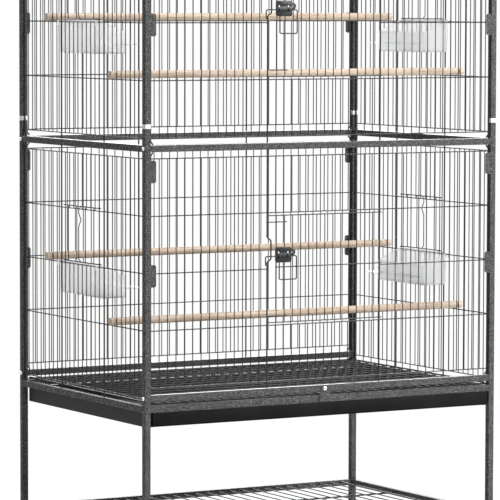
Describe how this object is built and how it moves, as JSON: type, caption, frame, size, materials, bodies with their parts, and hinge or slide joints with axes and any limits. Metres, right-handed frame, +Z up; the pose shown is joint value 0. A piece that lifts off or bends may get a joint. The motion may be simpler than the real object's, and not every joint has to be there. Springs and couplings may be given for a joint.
{
  "type": "bird cage",
  "caption": "Tall wire bird cage on a stand with casters, hinged front doors, sliding feeder doors, hanging cups, wooden perches, wire floor, pull-out tray and lower shelf.",
  "frame": {"origin": "on the floor under the middle of the cage, at the bottom centre of the bounding box", "axes": "+Z up, -Y towards the front with the doors, +X to the right as seen from the front"},
  "size_m": [0.8008, 0.6108, 1.3398],
  "materials": {
    "hammertone_steel": "dark silver hammertone powder coat on square steel tube",
    "wire_steel": "dark grey powder coat on welded steel wire",
    "tray_enamel": "satin black coat on sheet steel",
    "cup_plastic": "milky translucent white plastic",
    "collar_plastic": "plain white plastic",
    "perch_wood": "bare turned light wood",
    "wheel_rubber": "smooth black rubber",
    "zinc_plate": "bright zinc plate"
  },
  "bodies": {
    "frame": {"post_lower_front_left": "hammertone_steel", "post_upper_front_left": "hammertone_steel", "collar_front_left": "collar_plastic", "post_lower_front_right": "hammertone_steel", "post_upper_front_right": "hammertone_steel", "collar_front_right": "collar_plastic", "post_lower_rear_left": "hammertone_steel", "post_upper_rear_left": "hammertone_steel", "collar_rear_left": "collar_plastic", "post_lower_rear_right": "hammertone_steel", "post_upper_rear_right": "hammertone_steel", "collar_rear_right": "collar_plastic", "mid_rail_front": "hammertone_steel", "mid_rail_rear": "hammertone_steel", "mid_rail_left": "hammertone_steel", "mid_rail_right": "hammertone_steel", "base_rail_front_upper": "hammertone_steel", "base_rail_rear_upper": "hammertone_steel", "base_rail_front_lower": "hammertone_steel", "base_rail_rear_lower": "hammertone_steel", "base_rail_left": "hammertone_steel", "base_rail_right": "hammertone_steel", "panel_lower_front": "wire_steel", "panel_lower_rear": "wire_steel", "panel_lower_left": "wire_steel", "panel_lower_right": "wire_steel", "panel_upper_front": "wire_steel", "panel_upper_rear": "wire_steel", "panel_upper_left": "wire_steel", "panel_upper_right": "wire_steel", "cup_lower_left": "cup_plastic", "cup_lower_right": "cup_plastic", "cup_upper_left": "cup_plastic", "cup_upper_right": "cup_plastic", "perch_lower_rear": "perch_wood", "perch_lower_front": "perch_wood", "perch_upper_rear": "perch_wood", "perch_upper_front": "perch_wood", "grate": "wire_steel", "shelf": "hammertone_steel", "roof": "hammertone_steel"},
    "door_lower": {"door_lower": "wire_steel"},
    "latch_lower": {"latch_lower": "wire_steel"},
    "feeder_door_lower_left": {"feeder_door_lower_left": "wire_steel"},
    "feeder_door_lower_right": {"feeder_door_lower_right": "wire_steel"},
    "door_upper": {"door_upper": "wire_steel"},
    "latch_upper": {"latch_upper": "wire_steel"},
    "feeder_door_upper_left": {"feeder_door_upper_left": "wire_steel"},
    "feeder_door_upper_right": {"feeder_door_upper_right": "wire_steel"},
    "tray": {"tray": "tray_enamel"},
    "lock_tab": {"lock_tab": "hammertone_steel"},
    "caster_fork_front_left": {"caster_fork_front_left": "zinc_plate"},
    "caster_wheel_front_left": {"caster_wheel_front_left": "wheel_rubber"},
    "caster_fork_front_right": {"caster_fork_front_right": "zinc_plate"},
    "caster_wheel_front_right": {"caster_wheel_front_right": "wheel_rubber"},
    "caster_fork_rear_left": {"caster_fork_rear_left": "zinc_plate"},
    "caster_wheel_rear_left": {"caster_wheel_rear_left": "wheel_rubber"},
    "caster_fork_rear_right": {"caster_fork_rear_right": "zinc_plate"},
    "caster_wheel_rear_right": {"caster_wheel_rear_right": "wheel_rubber"}
  },
  "joints": [
    {"name": "door_lower_hinge", "type": "hinge", "parent": "frame", "child": "door_lower", "pos_m": [0.1263, -0.2608, 0.52612], "axis": [0, 0, 1], "range_deg": [0, 135]},
    {"name": "latch_lower_slide", "type": "slide", "parent": "door_lower", "child": "latch_lower", "axis": [1, 0, 0], "range_m": [0, 0.022]},
    {"name": "feeder_door_lower_left_slide", "type": "slide", "parent": "frame", "child": "feeder_door_lower_left", "axis": [0, 0, 1], "range_m": [0, 0.095]},
    {"name": "feeder_door_lower_right_slide", "type": "slide", "parent": "frame", "child": "feeder_door_lower_right", "axis": [0, 0, 1], "range_m": [0, 0.095]},
    {"name": "door_upper_hinge", "type": "hinge", "parent": "frame", "child": "door_upper", "pos_m": [0.1263, -0.2608, 0.99602], "axis": [0, 0, 1], "range_deg": [0, 135]},
    {"name": "latch_upper_slide", "type": "slide", "parent": "door_upper", "child": "latch_upper", "axis": [1, 0, 0], "range_m": [0, 0.022]},
    {"name": "feeder_door_upper_left_slide", "type": "slide", "parent": "frame", "child": "feeder_door_upper_left", "axis": [0, 0, 1], "range_m": [0, 0.095]},
    {"name": "feeder_door_upper_right_slide", "type": "slide", "parent": "frame", "child": "feeder_door_upper_right", "axis": [0, 0, 1], "range_m": [0, 0.095]},
    {"name": "tray_slide", "type": "slide", "parent": "frame", "child": "tray", "axis": [0, -1, 0], "range_m": [0, 0.45]},
    {"name": "lock_tab_pivot", "type": "hinge", "parent": "frame", "child": "lock_tab", "pos_m": [-0.0005, -0.2676, 0.3934], "axis": [0, 1, 0], "range_deg": [-100, 100]},
    {"name": "caster_front_left_swivel", "type": "hinge", "parent": "frame", "child": "caster_fork_front_left", "pos_m": [-0.38735, -0.26035, 0.058], "axis": [0, 0, 1], "continuous": true},
    {"name": "caster_front_left_spin", "type": "hinge", "parent": "caster_fork_front_left", "child": "caster_wheel_front_left", "pos_m": [-0.38735, -0.28035, 0.025], "axis": [1, 0, 0], "continuous": true},
    {"name": "caster_front_right_swivel", "type": "hinge", "parent": "frame", "child": "caster_fork_front_right", "pos_m": [0.38735, -0.26035, 0.058], "axis": [0, 0, 1], "continuous": true},
    {"name": "caster_front_right_spin", "type": "hinge", "parent": "caster_fork_front_right", "child": "caster_wheel_front_right", "pos_m": [0.38735, -0.28035, 0.025], "axis": [1, 0, 0], "continuous": true},
    {"name": "caster_rear_left_swivel", "type": "hinge", "parent": "frame", "child": "caster_fork_rear_left", "pos_m": [-0.38735, 0.26035, 0.058], "axis": [0, 0, 1], "continuous": true},
    {"name": "caster_rear_left_spin", "type": "hinge", "parent": "caster_fork_rear_left", "child": "caster_wheel_rear_left", "pos_m": [-0.38735, 0.28035, 0.025], "axis": [1, 0, 0], "continuous": true},
    {"name": "caster_rear_right_swivel", "type": "hinge", "parent": "frame", "child": "caster_fork_rear_right", "pos_m": [0.38735, 0.26035, 0.058], "axis": [0, 0, 1], "continuous": true},
    {"name": "caster_rear_right_spin", "type": "hinge", "parent": "caster_fork_rear_right", "child": "caster_wheel_rear_right", "pos_m": [0.38735, 0.28035, 0.025], "axis": [1, 0, 0], "continuous": true}
  ]
}
